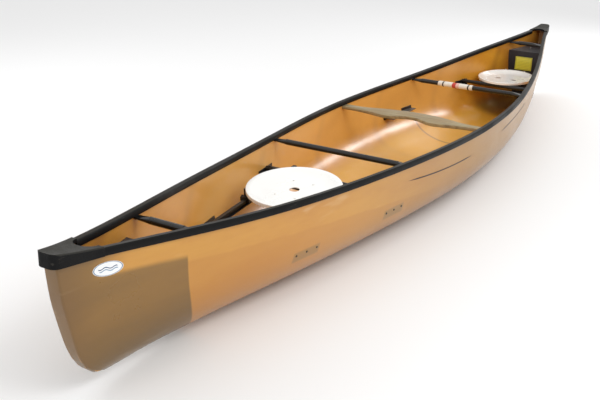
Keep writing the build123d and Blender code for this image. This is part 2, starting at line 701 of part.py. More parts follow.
def main():
    """Make every piece and write it."""
    crossbar_xs = [*CROSSBARS.values(), YOKE_X]
    places = [place for x in crossbar_xs for place in screw_places(x)]
    for side in (1, -1):
        save(gunwale(side, places), f"gunwale_{hand(side)}")
    for name, x in CROSSBARS.items():
        save(thwart(x), name)
    save(yoke(), "portage_yoke")
    save(sleeve(), "thwart_sleeve")
    with BuildPart() as all_screws:
        for x in crossbar_xs:
            add(screws(x, YOKE_THICK if x == YOKE_X else TAB_THICK))
    save(all_screws.part, "crossbar_screws")

    rear_z = BOW_FRONT_Z + slide_slope * (BOW_FRONT_X - BOW_REAR_X)
    stern_z = STERN_RIM_Z - SEAT_LIP - FIT - CROSS_TUBE / 2
    crosses = (
        ("bow_front", BOW_FRONT_X, BOW_FRONT_Z, BOW_RIVET_Z),
        ("bow_rear", BOW_REAR_X, rear_z, BOW_RIVET_Z),
        ("stern_front", STERN_SEAT_X + STERN_CROSS_SPREAD, stern_z, STERN_RIVET_Z),
        ("stern_rear", STERN_SEAT_X - STERN_CROSS_SPREAD, stern_z, STERN_RIVET_Z),
    )
    rivet_spots = []
    for name, x, z, rivet_z in crosses:
        tube, spots = cross_set(name, x, z, rivet_z)
        rivet_spots += spots
        if name.startswith("stern"):
            with BuildPart() as bored:
                add(tube)
                with Locations([(x, side * STERN_BOLT_Y, z) for side in (1, -1)]):
                    Cylinder(BOLT / 2 + FIT, 2 * CROSS_TUBE, mode=Mode.SUBTRACT)
            tube = bored.part
        save(tube, f"{name}_cross_tube")

    with BuildPart() as hull:
        add(outer_form)
        add(inner_form, mode=Mode.SUBTRACT)
    save(drilled(hull.part, rivet_spots, RIVET + FIT, 3 * WALL), "hull")

    for end in (1, -1):
        save(deck_plate(end), f"{turned(end)}_deck_plate")
        save(float_tank(end), f"{turned(end)}_float_tank")
    save(tank_label(), "tank_label")
    save(tank_eye(), "tank_eye")

    for x, name in ((MID_FRONT_X, "front"), (MID_REAR_X, "rear")):
        for side in (1, -1):
            with BuildPart() as angle:
                add(bracket(x, side, MID_SHELF_Z, MID_SHELF_Z, MID_LONG, MID_HOLE_Y - BRACKET_EDGE))
                with Locations((x, side * MID_HOLE_Y, MID_SHELF_Z)):
                    Cylinder(BOLT / 2 + FIT, BRACKET_THICK * 4, mode=Mode.SUBTRACT)
            save(angle.part, f"mid_seat_bracket_{name}_{hand(side)}")

    for side in (1, -1):
        save(rail(side), f"seat_rail_{hand(side)}")
        save(clamp_knob(side), f"slide_clamp_knob_{hand(side)}")
        for end, name in ((1, "front"), (-1, "rear")):
            save(slide_block(end, side), f"slide_block_{name}_{hand(side)}")
    for end, name in ((1, "front"), (-1, "rear")):
        save(seat_bar(end), f"bow_seat_bar_{name}")
    bolt_places = [(end * BLOCK_SPREAD, side * SEAT_BOLT_Y) for end in (1, -1) for side in (1, -1)]
    seat_plane = Plane(origin=on_rails(seat_at, 0, rim_level), x_dir=rail_level.x_dir, z_dir=rail_level.z_dir)
    save(seat_shell(seat_plane, SEAT_LONG, SEAT_WIDE, SEAT_DEEP, (0,), DRAIN, bolt_places), "bow_seat_shell")
    save(seat_bolts(), "bow_seat_bolts")

    stern_plane = Plane.XY.offset(STERN_RIM_Z).shift_origin((STERN_SEAT_X, 0, STERN_RIM_Z))
    stern_places = [(end * STERN_CROSS_SPREAD, side * STERN_BOLT_Y) for end in (1, -1) for side in (1, -1)]
    save(seat_shell(stern_plane, STERN_SEAT_LONG, STERN_SEAT_WIDE, STERN_SEAT_DEEP,
                    (STERN_DRAIN_Y, -STERN_DRAIN_Y), STERN_DRAIN, stern_places), "stern_seat_shell")
    spots = [(STERN_SEAT_X + x, y) for x, y in stern_places]
    save(bolts(spots, stern_z - CROSS_TUBE / 2, STERN_RIM_Z + FIT / 2), "stern_seat_bolts")


main()
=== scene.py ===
# %% [markdown]
# # An open tripping canoe
# The canoe is a thin laminate shell with black gunwales clamped on its edge, tubes and a carved yoke
# across it, and two moulded seats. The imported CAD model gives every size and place. This script gives
# each piece its finish, rounds what is rounded on the real boat, and adds the thin things stuck on it.

# %% Load the frame
import json
import math

import bmesh
import bpy
from mathutils import Matrix, Vector
from mathutils.bvhtree import BVHTree


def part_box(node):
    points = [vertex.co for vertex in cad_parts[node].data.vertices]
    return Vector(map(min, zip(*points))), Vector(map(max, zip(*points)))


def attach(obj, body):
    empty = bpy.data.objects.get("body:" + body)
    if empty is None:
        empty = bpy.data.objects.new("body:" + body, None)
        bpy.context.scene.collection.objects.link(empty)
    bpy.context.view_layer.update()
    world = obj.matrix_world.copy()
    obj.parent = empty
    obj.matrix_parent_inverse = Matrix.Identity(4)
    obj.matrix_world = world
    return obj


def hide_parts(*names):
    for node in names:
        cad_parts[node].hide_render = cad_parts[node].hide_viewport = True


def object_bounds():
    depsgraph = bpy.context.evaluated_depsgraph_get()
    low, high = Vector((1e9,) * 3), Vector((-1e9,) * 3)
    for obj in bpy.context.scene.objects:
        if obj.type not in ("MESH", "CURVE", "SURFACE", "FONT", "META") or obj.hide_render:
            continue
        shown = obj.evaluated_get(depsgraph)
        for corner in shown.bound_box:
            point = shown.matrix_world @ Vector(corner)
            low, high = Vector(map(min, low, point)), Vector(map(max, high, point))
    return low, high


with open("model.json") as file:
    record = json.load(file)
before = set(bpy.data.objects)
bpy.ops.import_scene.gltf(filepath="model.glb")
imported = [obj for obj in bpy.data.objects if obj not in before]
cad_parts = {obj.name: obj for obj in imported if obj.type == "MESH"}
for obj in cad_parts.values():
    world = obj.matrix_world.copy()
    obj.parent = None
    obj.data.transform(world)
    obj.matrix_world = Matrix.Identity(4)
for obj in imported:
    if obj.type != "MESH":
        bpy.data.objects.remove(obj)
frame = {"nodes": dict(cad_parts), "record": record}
cad_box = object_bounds()
print("CAD box", [list(corner) for corner in cad_box])

# %% [markdown]
# ## Shader helpers
# A finish is a small graph of nodes. One helper adds a node and fills its sockets, and a few short ones
# stand on it for sums, mixes and noise, so that each material reads like a recipe.

# %% Helpers for nodes
def paint(red, green, blue):
    """A colour given in screen values from 0 to 255, as the linear colour that a shader takes."""
    def linear(value):
        share = value / 255
        return share / 12.92 if share <= 0.04045 else ((share + 0.055) / 1.055) ** 2.4

    return (linear(red), linear(green), linear(blue), 1)


def put(tree, kind, settings=None, **sockets):
    """Adds a node. Each socket is set by its name, or by s0, s1, s2 for its number."""
    node = tree.nodes.new(kind)
    for name, value in (settings or {}).items():
        setattr(node, name, value)
    for name, value in sockets.items():
        key = int(name[1:]) if name[0] == "s" and name[1:].isdigit() else name.replace("_", " ")
        if isinstance(value, bpy.types.NodeSocket):
            tree.links.new(value, node.inputs[key])
        else:
            node.inputs[key].default_value = value
    return node


def total(tree, operation, a, b=0.0, clamp=False):
    """One sum of two values."""
    return put(tree, "ShaderNodeMath", {"operation": operation, "use_clamp": clamp}, s0=a, s1=b).outputs[0]


def step(tree, value, start, end):
    """0 before start, 1 after end, and a soft rise between them."""
    kind = {"interpolation_type": "SMOOTHSTEP"}
    made = put(tree, "ShaderNodeMapRange", kind, Value=value, From_Min=start, From_Max=end)
    return made.outputs["Result"]


def blended(tree, share, under, over):
    """The colour over laid on the colour under, by share."""
    made = put(tree, "ShaderNodeMix", {"data_type": "RGBA"}, s0=share)
    for key, colour in ((6, under), (7, over)):
        if isinstance(colour, bpy.types.NodeSocket):
            tree.links.new(colour, made.inputs[key])
        else:
            made.inputs[key].default_value = colour
    return made.outputs[2]


def noise(tree, where, scale, detail=4.0, rough=0.55):
    """Cloudy noise from 0 to 1."""
    made = put(tree, "ShaderNodeTexNoise", Vector=where, Scale=scale, Detail=detail, Roughness=rough)
    return made.outputs["Fac"]


def stretched(tree, where, scale):
    """The place with each axis multiplied, so that a pattern runs along the piece."""
    made = put(tree, "ShaderNodeMapping", Vector=where)
    made.inputs["Scale"].default_value = scale
    return made.outputs["Vector"]


def spot(tree):
    """The place on the piece."""
    return put(tree, "ShaderNodeTexCoord").outputs["Object"]


def place(tree):
    """The place on the piece, and its three numbers."""
    where = spot(tree)
    split = put(tree, "ShaderNodeSeparateXYZ", Vector=where)
    return where, split.outputs["X"], split.outputs["Y"], split.outputs["Z"]


def finish_material(name, rough, coat=0.0, coat_rough=0.05, metal=0.0, sheen=0.0, ior=1.5):
    """A new material with its plain shader values set, and its tree and shader."""
    made = bpy.data.materials.new(name)
    made.use_nodes = True
    shader = made.node_tree.nodes["Principled BSDF"]
    values = {"Roughness": rough, "Coat Weight": coat, "Coat Roughness": coat_rough, "Metallic": metal,
              "Sheen Weight": sheen, "IOR": ior}
    for socket, value in values.items():
        shader.inputs[socket].default_value = value
    return made, made.node_tree, shader


def feed(tree, shader, **sockets):
    """Links values to the shader's sockets."""
    for name, value in sockets.items():
        tree.links.new(value, shader.inputs[name.replace("_", " ")])


def bumped(tree, height, strength, distance):
    """A normal from a height."""
    made = put(tree, "ShaderNodeBump", Strength=strength, Distance=distance, Height=height)
    return made.outputs["Normal"]


# %% [markdown]
# ## Effects that several finishes share
# Handling leaves the same marks on vinyl, tube and moulding: cloudy dullness, and fine scratches that
# run along the piece. Both are node groups with named sockets, placed in each material with its own values.

# %% Node groups
def new_group(name, inputs, outputs):
    """An empty node group with named sockets, and its two end nodes."""
    made = bpy.data.node_groups.new(name, "ShaderNodeTree")
    for socket, kind, value in inputs:
        item = made.interface.new_socket(socket, in_out="INPUT", socket_type=kind)
        if value is not None:
            item.default_value = value
    for socket in outputs:
        made.interface.new_socket(socket, in_out="OUTPUT", socket_type="NodeSocketFloat")
    return made, made.nodes.new("NodeGroupInput"), made.nodes.new("NodeGroupOutput")


def make_handling_marks():
    """Cloudy wear, fine scratches and fine grain, each as a value from 0 to 1."""
    inputs = (("Where", "NodeSocketVector", None), ("Cloud Scale", "NodeSocketFloat", 3.0),
              ("Scratch Scale", "NodeSocketFloat", 40.0), ("Grain Scale", "NodeSocketFloat", 900.0))
    tree, start, end = new_group("handling_marks", inputs, ("Cloud", "Scratch", "Grain"))
    where = start.outputs["Where"]
    cloud = noise(tree, where, start.outputs["Cloud Scale"], 6.0, 0.6)
    tree.links.new(step(tree, cloud, 0.35, 0.7), end.inputs["Cloud"])
    along = stretched(tree, where, (0.12, 1.0, 1.0))
    scratch = noise(tree, along, start.outputs["Scratch Scale"], 3.0, 0.7)
    tree.links.new(step(tree, scratch, 0.62, 0.74), end.inputs["Scratch"])
    tree.links.new(noise(tree, where, start.outputs["Grain Scale"], 2.0, 0.5), end.inputs["Grain"])
    return tree


def make_cloth():
    """The plain weave of the laminate's cloth: two sets of ridges that cross."""
    inputs = (("Where", "NodeSocketVector", None), ("Threads per Metre", "NodeSocketFloat", 700.0))
    tree, start, end = new_group("cloth_weave", inputs, ("Height",))
    split = put(tree, "ShaderNodeSeparateXYZ", Vector=start.outputs["Where"])
    up = total(tree, "ADD", split.outputs["Z"], split.outputs["Y"])
    ridges = []
    for run in (split.outputs["X"], up):
        turn = total(tree, "MULTIPLY", run, start.outputs["Threads per Metre"])
        ridges.append(total(tree, "SINE", total(tree, "MULTIPLY", turn, math.tau)))
    tree.links.new(total(tree, "MULTIPLY", *ridges), end.inputs["Height"])
    return tree


handling_marks = make_handling_marks()
cloth_weave = make_cloth()


def marks(tree, where, cloud=3.0, scratch=40.0, grain=900.0):
    """The handling marks, placed in a material."""
    node = put(tree, "ShaderNodeGroup", {"node_tree": handling_marks}, Where=where, Cloud_Scale=cloud,
               Scratch_Scale=scratch, Grain_Scale=grain)
    return node.outputs["Cloud"], node.outputs["Scratch"], node.outputs["Grain"]


print("groups", handling_marks.name, cloth_weave.name)

# %% [markdown]
# ## The laminate
# The hull is amber aramid cloth in clear resin. Where two cloths overlap the colour is deeper, the ends
# have an extra olive layer against rocks, the outside is painted darker and rosier low down and towards
# the stern as painted shade, and the dark brackets inside show through as grey shadows. Inside, a floor
# panel is paler and has a darker edge; the far wall is painted lighter as painted light, and painted shade
# darkens the floor under the seats and the narrow ends. Each is a mask worked out from the place on the
# hull, so it can't slide.

# %% Places on the hull
bow_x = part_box("bow_deck_plate")[1].x
handle_x = sum(corner.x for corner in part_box("bow_carry_handle")) / 2
rivet_boxes = [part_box(f"{name}_rivets") for name in ("bow_front", "bow_rear")]
yoke_x = sum(corner.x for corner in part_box("portage_yoke")) / 2
PATCH_SHADE = paint(131, 95, 36)
AMBER, AMBER_DEEP, AMBER_PALE = paint(206, 148, 58), paint(190, 128, 48), paint(230, 174, 50)
LOW_SHADE_ROSE, UNDER_SEAT_SHADE, EDGE_BROWN = paint(136, 100, 68), paint(96, 62, 32), paint(128, 76, 26)
AFT_SHADE_AMBER = paint(140, 105, 50)
OLIVE_SHADOW, WORN_PALE = paint(96, 90, 56), paint(228, 206, 170)
BLEND = 0.006  # how softly one cloth ends on the next
PATCH_BACK, PATCH_KNEE, PATCH_SLANT = 0.055, 0.37, -0.9  # its back edge leans more below the knee
PATCH_TOP, PATCH_TOP_SLOPE = 0.101, 0.123
PATCH_NOSE = (0.29, 0.12)  # over this run it reaches up to the deck plate
OVERLAP_HIGH, OVERLAP_SLOPE = 0.132, 0.1  # the edge of the lower cloth on the outside
FLOOR_PANEL_BACK, FLOOR_PANEL_BOW = 0.72, 0.17  # behind the yoke, and how far its edge bows
RIBS_PER_METRE, RIB_LEAN = 1.35, 0.5
BOW_SEAT_FROM, BOW_SEAT_TO = (corner.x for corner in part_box("bow_seat_shell"))


def patch_mask(tree, x, z, wander):
    """1 on the extra layer at the bow: behind a slanting edge and under a rising one."""
    foot = total(tree, "SUBTRACT", PATCH_KNEE, z)
    back = total(tree, "MULTIPLY", total(tree, "POWER", foot, 2.0), PATCH_SLANT)
    edge = total(tree, "ADD", total(tree, "ADD", back, handle_x + PATCH_BACK), wander)
    behind = step(tree, total(tree, "SUBTRACT", x, edge), -0.004, 0.004)
    top = total(tree, "ADD", total(tree, "MULTIPLY", x, PATCH_TOP_SLOPE), PATCH_TOP)
    under = step(tree, total(tree, "SUBTRACT", top, z), -0.012, 0.012)
    fore = step(tree, x, *(bow_x - run for run in PATCH_NOSE))
    return total(tree, "MULTIPLY", behind, total(tree, "MAXIMUM", under, fore))


def box_mask(tree, x, z, low, high, soft):
    """1 inside a rectangle seen from the side, with soft edges."""
    made = None
    for value, start, end in ((x, low[0], high[0]), (z, low[1], high[1])):
        for mask in (step(tree, value, start - soft, start + soft),
                     total(tree, "SUBTRACT", 1.0, step(tree, value, end - soft, end + soft))):
            made = mask if made is None else total(tree, "MULTIPLY", made, mask)
    return made


# %% Hull outside
def make_laminate_outside():
    """Amber cloth in resin, deeper at overlaps, painted shade low down and aft, olive where the bow has an
    extra layer.
    """
    made, tree, shader = finish_material("laminate_outside", 0.34, coat=0.3, coat_rough=0.12)
    where, x, _, z = place(tree)
    cloud, scratch, grain = marks(tree, where, 1.6, 9.0, 260.0)
    drift = noise(tree, stretched(tree, where, (0.5, 1.0, 2.2)), 2.3, 5.0, 0.6)
    colour = blended(tree, step(tree, drift, 0.3, 0.72), AMBER, AMBER_DEEP)
    wander = total(tree, "MULTIPLY", total(tree, "SUBTRACT", noise(tree, where, 7.0, 2.0), 0.5), 0.02)
    overlap = total(tree, "ADD", total(tree, "MULTIPLY", x, OVERLAP_SLOPE), OVERLAP_HIGH)
    below = step(tree, total(tree, "SUBTRACT", total(tree, "ADD", overlap, wander), z), -BLEND, BLEND)
    forward = step(tree, x, 0.1, 0.9)
    colour = blended(tree, total(tree, "MULTIPLY", total(tree, "MULTIPLY", below, forward), 0.55), colour,
                     AMBER_DEEP)
    # Painted shade: the side is painted darker and rosier low down and towards the stern, where less light
    # falls.
    low_shade = total(tree, "SUBTRACT", 1.0, step(tree, z, 0.03, 0.25))
    aft = step(tree, total(tree, "MULTIPLY", x, -1.0), -1.75, 0.4)
    colour = blended(tree, total(tree, "MULTIPLY", aft, 0.75), colour, AFT_SHADE_AMBER)
    low_shade = total(tree, "MULTIPLY", low_shade, total(tree, "ADD", total(tree, "MULTIPLY", aft, 0.5), 0.4))
    colour = blended(tree, total(tree, "MULTIPLY", low_shade, 0.85), colour, LOW_SHADE_ROSE)
    for low, high in rivet_boxes:
        middle = (low.z + high.z) / 2
        shown = box_mask(tree, x, z, (low.x - 0.012, middle - 0.03), (high.x + 0.012, middle + 0.014), BLEND)
        colour = blended(tree, total(tree, "MULTIPLY", shown, 0.42), colour, OLIVE_SHADOW)
    end = patch_mask(tree, x, z, total(tree, "MULTIPLY", wander, 0.3))
    shade = blended(tree, step(tree, drift, 0.3, 0.7), PATCH_SHADE, paint(116, 86, 34))
    # Painted shade: the extra layer is painted darker low down.
    low_down = total(tree, "SUBTRACT", 1.0, step(tree, z, 0.05, 0.3))
    shade = blended(tree, total(tree, "MULTIPLY", low_down, 0.75), shade, paint(92, 71, 31))
    shade = blended(tree, step(tree, x, 2.5, 2.68), shade, paint(106, 77, 36))
    colour = blended(tree, total(tree, "MULTIPLY", end, 0.9), colour, shade)
    colour = blended(tree, total(tree, "MULTIPLY", total(tree, "MULTIPLY", cloud, scratch), 0.25), colour,
                     WORN_PALE)
    weave = put(tree, "ShaderNodeGroup", {"node_tree": cloth_weave}, Where=where, Threads_per_Metre=420.0)
    height = total(tree, "ADD", total(tree, "MULTIPLY", weave.outputs["Height"], 0.25), grain)
    rough = total(tree, "ADD", total(tree, "MULTIPLY", cloud, 0.12), 0.27)
    feed(tree, shader, Base_Color=colour, Roughness=rough, Normal=bumped(tree, height, 0.12, 0.0006))
    return made


# %% Hull inside
def make_laminate_inside():
    """Amber cloth with faint ribs, a pale floor with a panel's edge, a far wall painted lighter as painted
    light, and painted shade under the seats and in the narrow ends.
    """
    made, tree, shader = finish_material("laminate_inside", 0.36, coat=0.4, coat_rough=0.24)
    where, x, y, z = place(tree)
    cloud, _, grain = marks(tree, where, 2.2, 12.0, 300.0)
    drift = noise(tree, stretched(tree, where, (0.8, 1.0, 1.6)), 3.1, 5.0, 0.62)
    colour = blended(tree, step(tree, drift, 0.32, 0.7), paint(220, 156, 50), paint(200, 134, 40))
    lean = total(tree, "ADD", total(tree, "MULTIPLY", z, RIB_LEAN), x)
    turn = total(tree, "FRACT", total(tree, "MULTIPLY", lean, RIBS_PER_METRE))
    rib = total(tree, "SUBTRACT", 1.0, step(tree, total(tree, "ABSOLUTE", total(tree, "SUBTRACT", turn, 0.5)),
                                            0.0, 0.09))
    colour = blended(tree, total(tree, "MULTIPLY", rib, 0.4), colour, paint(156, 98, 42))
    # Painted light: the far wall, which faces away from the lamps, is painted lighter.
    far_wall_light = total(tree, "MULTIPLY", step(tree, total(tree, "MULTIPLY", y, -1.0), 0.05, 0.3),
                     box_mask(tree, x, z, (-1.5, 0.12), (2.2, 0.6), 0.1))
    colour = blended(tree, total(tree, "MULTIPLY", far_wall_light, 0.6), colour, paint(238, 184, 104))
    low = total(tree, "SUBTRACT", 1.0, step(tree, z, 0.035, 0.075))
    colour = blended(tree, total(tree, "MULTIPLY", low, 0.75), colour, AMBER_PALE)
    reach = total(tree, "POWER", total(tree, "DIVIDE", y, 0.4), 2.0)
    reach = total(tree, "ADD", total(tree, "MULTIPLY", reach, FLOOR_PANEL_BOW),
                  total(tree, "SUBTRACT", x, yoke_x))
    panel = total(tree, "ABSOLUTE", total(tree, "ADD", reach, FLOOR_PANEL_BACK))
    line = total(tree, "SUBTRACT", 1.0, step(tree, panel, 0.005, 0.016))
    line = total(tree, "MULTIPLY", line, total(tree, "SUBTRACT", 1.0, step(tree, z, 0.09, 0.16)))
    colour = blended(tree, total(tree, "MULTIPLY", line, 0.6), colour, EDGE_BROWN)
    # Painted shade on the floor under the stern seat.
    under = step(tree, total(tree, "MULTIPLY", x, -1.0), 1.56, 1.72)
    under = total(tree, "MULTIPLY", under, total(tree, "SUBTRACT", 1.0, step(tree, z, 0.05, 0.12)))
    colour = blended(tree, total(tree, "MULTIPLY", under, 0.7), colour, UNDER_SEAT_SHADE)
    # Painted shade on the floor under the bow seat, which shows through its drain hole.
    bow_seat_shade = box_mask(tree, x, z, (BOW_SEAT_FROM, -0.1), (BOW_SEAT_TO, 0.07), 0.06)
    colour = blended(tree, total(tree, "MULTIPLY", bow_seat_shade, 0.8), colour, UNDER_SEAT_SHADE)
    # Painted shade: the narrow ends of the hull, under the deck plates, are painted darker.
    end_shade = step(tree, total(tree, "ABSOLUTE", x), 1.9, 2.6)
    colour = blended(tree, total(tree, "MULTIPLY", end_shade, 0.35), colour, paint(150, 100, 54))
    weave = put(tree, "ShaderNodeGroup", {"node_tree": cloth_weave}, Where=where, Threads_per_Metre=300.0)
    height = total(tree, "ADD", total(tree, "MULTIPLY", weave.outputs["Height"], 0.4), grain)
    rough = total(tree, "ADD", total(tree, "MULTIPLY", cloud, 0.15), 0.28)
    feed(tree, shader, Base_Color=colour, Roughness=rough, Normal=bumped(tree, height, 0.2, 0.0008))
    return made


laminate_outside, laminate_inside = make_laminate_outside(), make_laminate_inside()
print("laminate", laminate_outside.name, laminate_inside.name)

# %% [markdown]
# ## Vinyl, mouldings and metal
# The gunwales are a black vinyl extrusion whose top is painted lighter grey, a painted highlight for the
# light falling on it, broken by cloudy wear. The deck plates are pebbled mouldings whose top is painted
# lighter in the same way. Tubes and brackets are black coated alloy with a soft shine, and fasteners are
# dull steel. All read their marks from the shared group.

# %% Black finishes
def make_black(name, rough, dark, worn, wear, grain_height, scratch=60.0, coat=0.0, metal=0.0, cloud=5.0):
    """A dark finish that is cloudy, scratched and slightly grained."""
    made, tree, shader = finish_material(name, rough, coat=coat, metal=metal)
    where = spot(tree)
    dull, scored, grain = marks(tree, where, cloud, scratch, 1200.0)
    colour = blended(tree, total(tree, "MULTIPLY", dull, wear), dark, worn)
    colour = blended(tree, total(tree, "MULTIPLY", scored, wear), colour, worn)
    values = total(tree, "ADD", total(tree, "MULTIPLY", dull, 0.15), rough - 0.05)
    feed(tree, shader, Base_Color=colour, Roughness=values, Normal=bumped(tree, grain, grain_height, 0.0004))
    return made


def make_gunwale_vinyl():
    """Black vinyl whose upward face is painted lighter grey, a painted highlight broken by cloudy wear."""
    made, tree, shader = finish_material("gunwale_vinyl", 0.5, ior=1.24)
    where = spot(tree)
    dull, scored, grain = marks(tree, where, 4.0, 30.0, 1400.0)
    facing = put(tree, "ShaderNodeSeparateXYZ", Vector=put(tree, "ShaderNodeNewGeometry").outputs["Normal"])
    # Painted highlight: faces that point up are painted lighter grey for the light on top, and the cloud
    # noise breaks this up as wear.
    top = step(tree, facing.outputs["Z"], 0.55, 0.95)
    top_light_and_wear = total(tree, "MULTIPLY", top, total(tree, "ADD", total(tree, "MULTIPLY", dull, 0.45), 0.5))
    colour = blended(tree, top_light_and_wear, paint(11, 11, 11), paint(54, 50, 44))
    colour = blended(tree, total(tree, "MULTIPLY", scored, 0.3), colour, paint(84, 78, 70))
    rough = total(tree, "ADD", total(tree, "MULTIPLY", dull, 0.2), 0.42)
    feed(tree, shader, Base_Color=colour, Roughness=rough, Normal=bumped(tree, grain, 0.15, 0.0004))
    return made


def make_deck_plastic():
    """Dark grey moulding with a pebbled face, its upward face painted lighter as a painted highlight."""
    made, tree, shader = finish_material("deck_plastic", 0.55, ior=1.26)
    where = spot(tree)
    dull, scored, _ = marks(tree, where, 9.0, 60.0, 1500.0)
    pebbles = put(tree, "ShaderNodeTexVoronoi", {"feature": "SMOOTH_F1"}, Vector=where, Scale=420.0)
    facing = put(tree, "ShaderNodeSeparateXYZ", Vector=put(tree, "ShaderNodeNewGeometry").outputs["Normal"])
    # Painted highlight: faces that point up are painted lighter grey.
    top = step(tree, facing.outputs["Z"], 0.4, 0.9)
    colour = blended(tree, top, paint(11, 11, 12), paint(54, 52, 46))
    dimple = step(tree, pebbles.outputs["Distance"], 0.2, 0.65)
    colour = blended(tree, total(tree, "MULTIPLY", dimple, 0.35), colour, paint(20, 20, 19))
    colour = blended(tree, total(tree, "MULTIPLY", scored, 0.4), colour, paint(80, 76, 70))
    height = total(tree, "SUBTRACT", 1.0, pebbles.outputs["Distance"])
    rough = total(tree, "ADD", total(tree, "MULTIPLY", dull, 0.2), 0.45)
    feed(tree, shader, Base_Color=colour, Roughness=rough, Normal=bumped(tree, height, 0.7, 0.0012))
    return made


gunwale_vinyl, deck_plastic = make_gunwale_vinyl(), make_deck_plastic()
thwart_tube = make_black("thwart_tube", 0.3, paint(18, 17, 16), paint(58, 50, 40), 0.3, 0.05, coat=0.1)
black_alloy = make_black("black_alloy", 0.38, paint(18, 17, 17), paint(52, 47, 42), 0.3, 0.08)
tank_skin = make_black("tank_skin", 0.5, paint(38, 37, 42), paint(64, 62, 66), 0.4, 0.3, cloud=8.0)
fitting_plastic = make_black("fitting_plastic", 0.45, paint(24, 24, 25), paint(66, 64, 62), 0.3, 0.25)
fastener = make_black("fastener", 0.35, paint(44, 40, 36), paint(92, 84, 74), 0.4, 0.1, metal=0.6)
eye_wire = make_black("eye_wire", 0.22, paint(190, 190, 186), paint(150, 146, 138), 0.4, 0.05, metal=1.0)

# %% [markdown]
# ## Wood, tape, seats and label
# The yoke is ash gone grey in the sun: long grain along the bar, stains and darker pores. The tape on
# the aft thwart is white, wound on a slant, with a red patch and dark bands. The seats are glossy white
# mouldings with faint handling dirt in the bowl. The notice on the stern tank keeps its yellow ground, with
# plain rules in place of words.

# %% Pale finishes
sleeve_low, sleeve_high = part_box("thwart_sleeve")
label_low, label_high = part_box("tank_label")


def make_ash():
    """Grey ash with long grain, stains and dark pores."""
    made, tree, shader = finish_material("ash", 0.55, coat=0.08, coat_rough=0.3)
    where, x, y, z = place(tree)
    bent = total(tree, "MULTIPLY", total(tree, "SUBTRACT", noise(tree, where, 3.0, 2.0), 0.5), 0.05)
    shifted = put(tree, "ShaderNodeCombineXYZ", X=total(tree, "ADD", x, bent), Y=y, Z=z).outputs[0]
    rings = noise(tree, stretched(tree, shifted, (34.0, 1.1, 22.0)), 3.2, 4.0, 0.6)
    pores = noise(tree, stretched(tree, shifted, (160.0, 5.0, 120.0)), 3.0, 3.0, 0.6)
    stain = noise(tree, where, 6.0, 4.0, 0.6)
    colour = blended(tree, step(tree, rings, 0.36, 0.64), paint(166, 148, 108), paint(130, 112, 78))
    colour = blended(tree, total(tree, "MULTIPLY", step(tree, stain, 0.42, 0.7), 0.45), colour,
                     paint(150, 118, 74))
    colour = blended(tree, total(tree, "MULTIPLY", step(tree, pores, 0.58, 0.7), 0.55), colour,
                     paint(82, 68, 48))
    height = total(tree, "SUBTRACT", rings, total(tree, "MULTIPLY", step(tree, pores, 0.56, 0.68), 0.6))
    rough = total(tree, "ADD", total(tree, "MULTIPLY", stain, 0.2), 0.45)
    feed(tree, shader, Base_Color=colour, Roughness=rough, Normal=bumped(tree, height, 0.35, 0.0006))
    return made


def band(tree, value, middle, half):
    """1 in a narrow band round middle."""
    far = total(tree, "ABSOLUTE", total(tree, "SUBTRACT", value, middle))
    return total(tree, "SUBTRACT", 1.0, step(tree, far, half * 0.8, half))


def make_wrap():
    """White tape wound on a slant, with a red patch and dark bands."""
    made, tree, shader = finish_material("wrap", 0.6, sheen=0.1)
    where, x, y, _ = place(tree)
    dull, _, grain = marks(tree, where, 14.0, 80.0, 900.0)
    long = sleeve_high.y - sleeve_low.y
    slant = total(tree, "ADD", y, total(tree, "MULTIPLY", total(tree, "SUBTRACT", x, sleeve_low.x), 0.35))
    share = total(tree, "DIVIDE", total(tree, "SUBTRACT", slant, sleeve_low.y), long)
    colour = blended(tree, total(tree, "MULTIPLY", dull, 0.3), paint(238, 232, 220), paint(200, 186, 164))
    colour = blended(tree, band(tree, share, 0.52, 0.06), colour, paint(196, 62, 52))
    colour = blended(tree, total(tree, "MULTIPLY", band(tree, share, 0.62, 0.05), 0.6), colour,
                     paint(226, 150, 140))
    for middle in (0.03, 0.20, 0.93):
        colour = blended(tree, band(tree, share, middle, 0.022), colour, paint(58, 48, 42))
    turns = total(tree, "FRACT", total(tree, "MULTIPLY", share, 11.0))
    height = total(tree, "ADD", step(tree, turns, 0.0, 0.2), total(tree, "MULTIPLY", grain, 0.2))
    rough = total(tree, "ADD", total(tree, "MULTIPLY", dull, 0.2), 0.5)
    feed(tree, shader, Base_Color=colour, Roughness=rough, Normal=bumped(tree, height, 0.5, 0.0008))
    return made


def make_seat_plastic():
    """Glossy white moulding with faint dirt and scratches."""
    made, tree, shader = finish_material("seat_plastic", 0.22, coat=0.35, coat_rough=0.08)
    where = spot(tree)
    dull, scored, grain = marks(tree, where, 5.0, 50.0, 700.0)
    colour = blended(tree, total(tree, "MULTIPLY", dull, 0.12), paint(252, 252, 249), paint(224, 221, 211))
    colour = blended(tree, total(tree, "MULTIPLY", scored, 0.1), colour, paint(198, 194, 184))
    rough = total(tree, "ADD", total(tree, "MULTIPLY", dull, 0.12), 0.2)
    feed(tree, shader, Base_Color=colour, Roughness=rough, Normal=bumped(tree, grain, 0.06, 0.0005))
    return made


